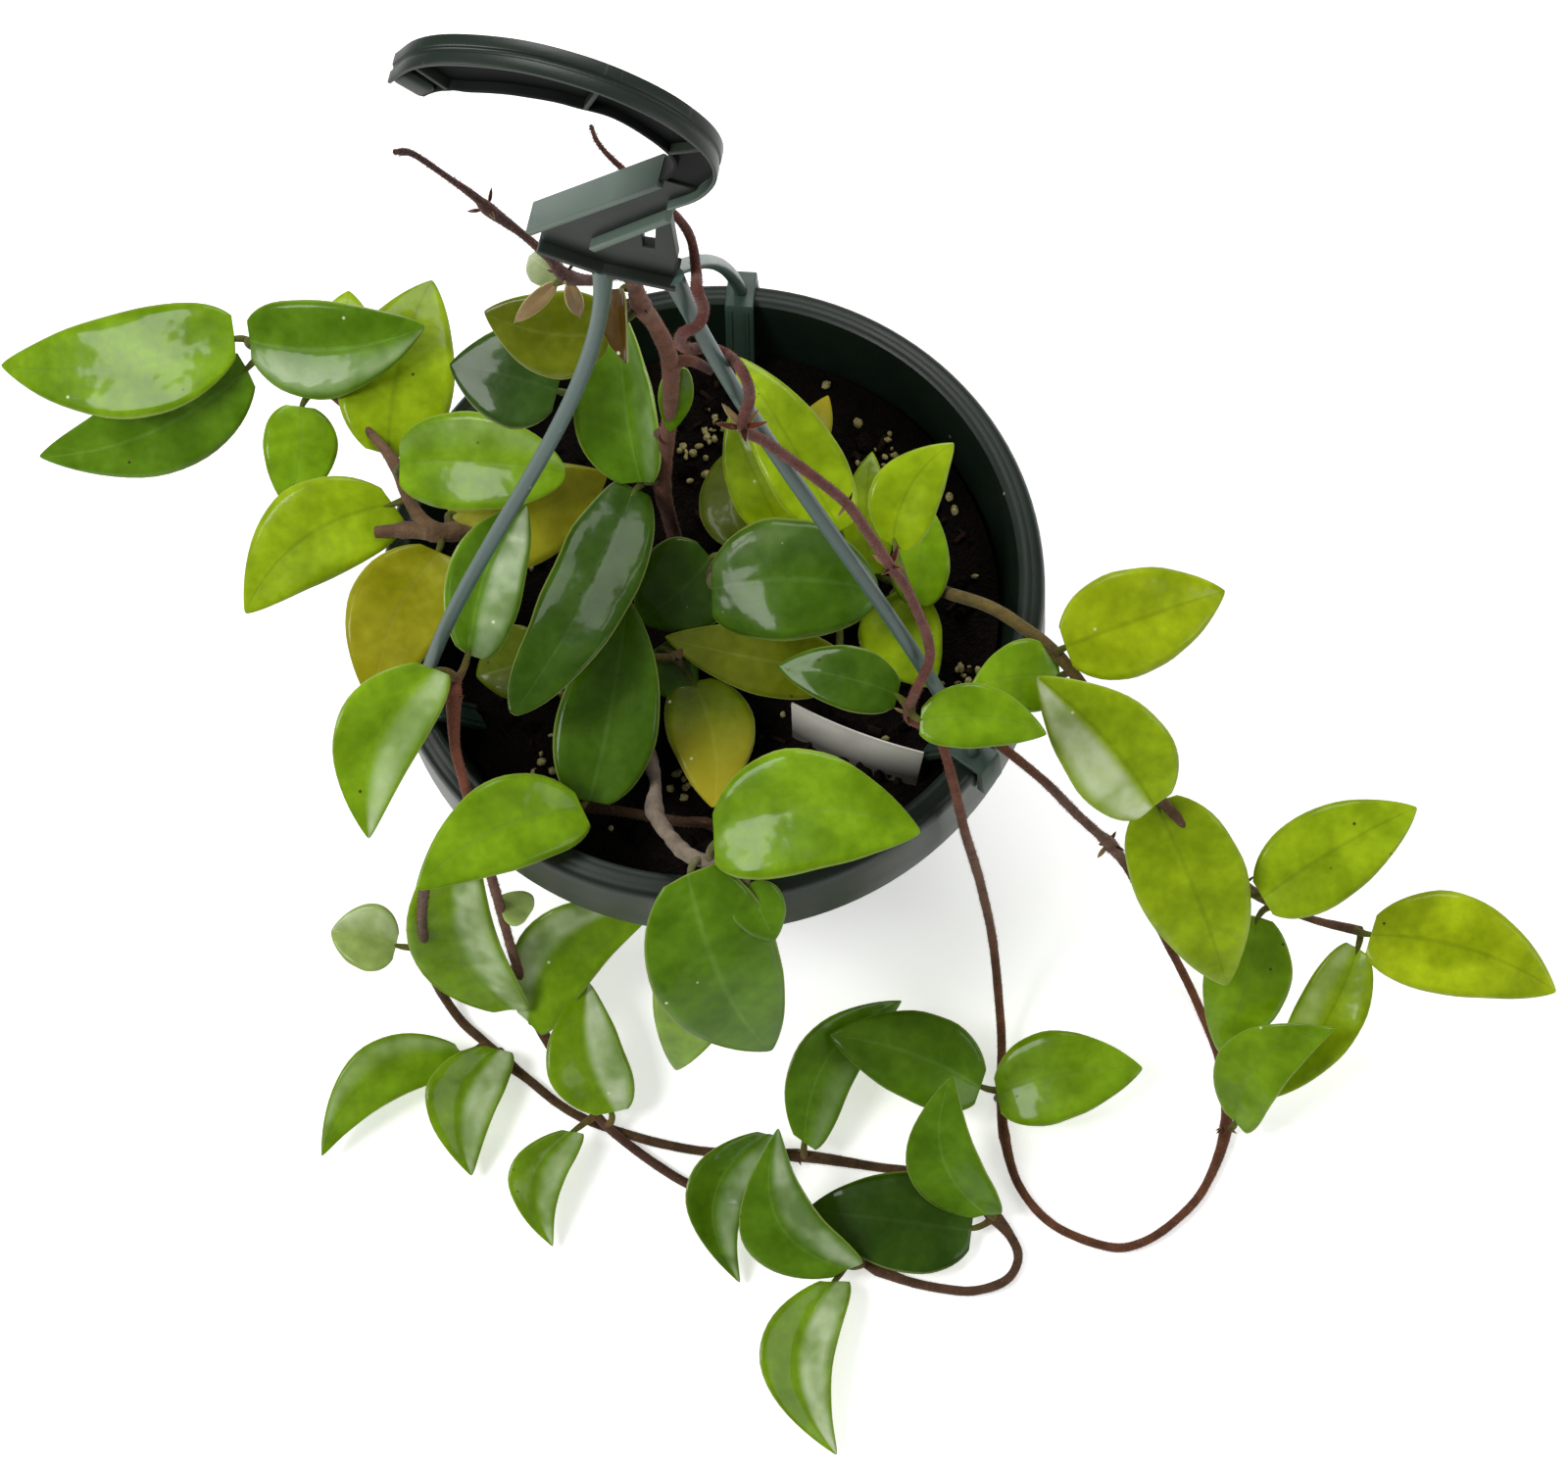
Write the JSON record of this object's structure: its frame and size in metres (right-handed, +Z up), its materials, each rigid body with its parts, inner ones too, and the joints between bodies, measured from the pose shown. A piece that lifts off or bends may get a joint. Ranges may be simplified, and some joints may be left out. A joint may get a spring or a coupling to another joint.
{
  "type": "potted wax plant",
  "caption": "Wax plant with long waxy-leaved vines in a plastic hanging pot with a moulded hook hanger, standing with its vines laid along the surface.",
  "frame": {"origin": "middle of the pot's base, on the surface that it stands on", "axes": "+Z up along the pot's axis; the front leaves hang towards -Y, and the left spray leans towards -X"},
  "size_m": [0.457, 0.3623, 0.465],
  "materials": {
    "pot_plastic": "satin dark green moulded polypropylene",
    "hanger_plastic": "satin grey-green moulded polypropylene",
    "potting_mix": "rough, damp, with perlite bits",
    "white_card": "smooth white plastic card",
    "waxy_leaf": "waxy green leaves on hairy brown stems"
  },
  "bodies": {
    "root": {"pot": "pot_plastic", "hanger": "hanger_plastic", "soil": "potting_mix", "plant_label": "white_card", "left_spray": "waxy_leaf", "climbing_stem": "waxy_leaf", "centre_leaves": "waxy_leaf", "right_spray": "waxy_leaf", "right_loop_vine": "waxy_leaf", "left_loop_vine": "waxy_leaf", "front_woody_stem": "waxy_leaf"}
  },
  "joints": []
}
